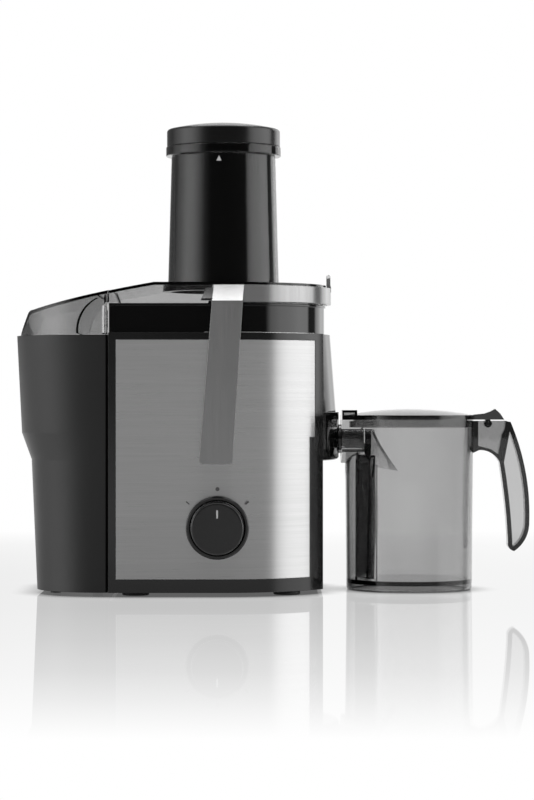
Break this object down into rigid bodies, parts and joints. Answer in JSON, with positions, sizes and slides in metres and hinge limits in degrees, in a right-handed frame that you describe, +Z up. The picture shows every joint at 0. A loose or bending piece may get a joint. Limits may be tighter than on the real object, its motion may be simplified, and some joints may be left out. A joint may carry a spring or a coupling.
{
  "type": "centrifugal juicer",
  "caption": "Kitchen centrifugal juicer with steel-skinned motor housing, wide feed chute, pulp container, locking arm and lidded juice jug.",
  "frame": {"origin": "on the table, under the middle of the whole appliance with its jug and pulp container in place", "axes": "+Z up; +X along the appliance from the pulp container to the jug; the control knob faces -Y"},
  "size_m": [0.3892, 0.204, 0.3563],
  "materials": {
    "black_plastic": "fine matt moulded texture",
    "gloss_black": "polished black moulding",
    "brushed_steel": "fine straight brushing",
    "perforated_steel": "etched stainless screen",
    "smoke_plastic": "clear smoke-tinted plastic",
    "rubber": "soft black rubber",
    "lamination": "stacked electrical steel",
    "copper": "enamelled copper wire",
    "zinc": "plated steel",
    "carbon": "pressed carbon",
    "nylon": "natural nylon",
    "circuit": "green circuit board with parts",
    "aluminium": "die-cast",
    "white_mark": "white inlay"
  },
  "bodies": {
    "base": {"housing_shell": "black_plastic", "front_steel_panel": "brushed_steel", "rear_steel_panel": "brushed_steel", "base_plate": "black_plastic", "rubber_feet": "rubber", "base_screws": "zinc", "motor_deck": "black_plastic", "stator_core": "lamination", "field_coils": "copper", "lower_bracket": "aluminium", "upper_bracket": "aluminium", "motor_bolts": "zinc", "motor_bushes": "rubber", "brush_holders": "copper", "carbon_brushes": "carbon", "lower_bearing": "zinc", "upper_bearing": "zinc", "shaft_seal": "rubber", "speed_switch": "black_plastic", "knob_bezel": "black_plastic", "control_board": "circuit", "interlock_switch": "black_plastic", "cable_grommet": "rubber", "arm_bushes": "black_plastic", "juice_bowl": "gloss_black", "bowl_seal": "rubber", "spout_housing": "gloss_black", "juice_spout": "smoke_plastic"},
    "rotor": {"motor_shaft": "zinc", "armature_core": "lamination", "armature_windings": "copper", "commutator": "copper", "cooling_fan": "nylon", "drive_coupling": "nylon"},
    "basket": {"basket_hub": "black_plastic", "grater_disc": "perforated_steel", "filter_screen": "perforated_steel", "basket_rim": "black_plastic"},
    "lid": {"lid_shell": "smoke_plastic", "pulp_deflector": "smoke_plastic", "feed_chute": "smoke_plastic", "chute_collar": "black_plastic"},
    "pusher": {"pusher_body": "black_plastic", "pusher_cap": "black_plastic"},
    "arm": {"lock_arm": "brushed_steel", "latch_pads": "black_plastic", "arm_pins": "zinc"},
    "pulp_bin": {"pulp_container": "black_plastic"},
    "jug": {"jug_body": "smoke_plastic", "jug_handle": "smoke_plastic", "foam_separator": "smoke_plastic", "lid_hinge_pin": "smoke_plastic"},
    "jug_cover": {"jug_lid": "smoke_plastic"},
    "knob": {"knob_cap": "black_plastic", "knob_pointer": "white_mark", "knob_shaft": "zinc"}
  },
  "joints": [
    {"name": "arm_swing", "type": "hinge", "parent": "base", "child": "arm", "pos_m": [-0.0423, 0, 0.108], "axis": [0, 1, 0], "range_deg": [0, 35]},
    {"name": "lid_lift", "type": "slide", "parent": "base", "child": "lid", "axis": [0, 0, 1], "range_m": [0, 0.11]},
    {"name": "pusher_lift", "type": "slide", "parent": "lid", "child": "pusher", "axis": [0, 0, 1], "range_m": [0, 0.105]},
    {"name": "rotor_spin", "type": "hinge", "parent": "base", "child": "rotor", "pos_m": [-0.0388, 0, 0.1], "axis": [0, 0, 1], "continuous": true},
    {"name": "basket_lift", "type": "slide", "parent": "rotor", "child": "basket", "axis": [0, 0, 1], "range_m": [0, 0.066]},
    {"name": "knob_turn", "type": "hinge", "parent": "base", "child": "knob", "pos_m": [-0.0418, -0.1, 0.0507], "axis": [0, -1, 0], "range_deg": [-50, 50]},
    {"name": "pulp_slide", "type": "slide", "parent": "base", "child": "pulp_bin", "axis": [-1, 0, 0], "range_m": [0, 0.12]},
    {"name": "jug_slide", "type": "slide", "parent": "base", "child": "jug", "axis": [1, 0, 0], "range_m": [0, 0.16]},
    {"name": "jug_lid_hinge", "type": "hinge", "parent": "jug", "child": "jug_cover", "pos_m": [0.1631, 0, 0.1265], "axis": [0, 1, 0], "range_deg": [0, 70]}
  ],
  "couplings": [
    {"joint": "basket_lift", "follows": "lid_lift", "ratio": 0.6}
  ]
}
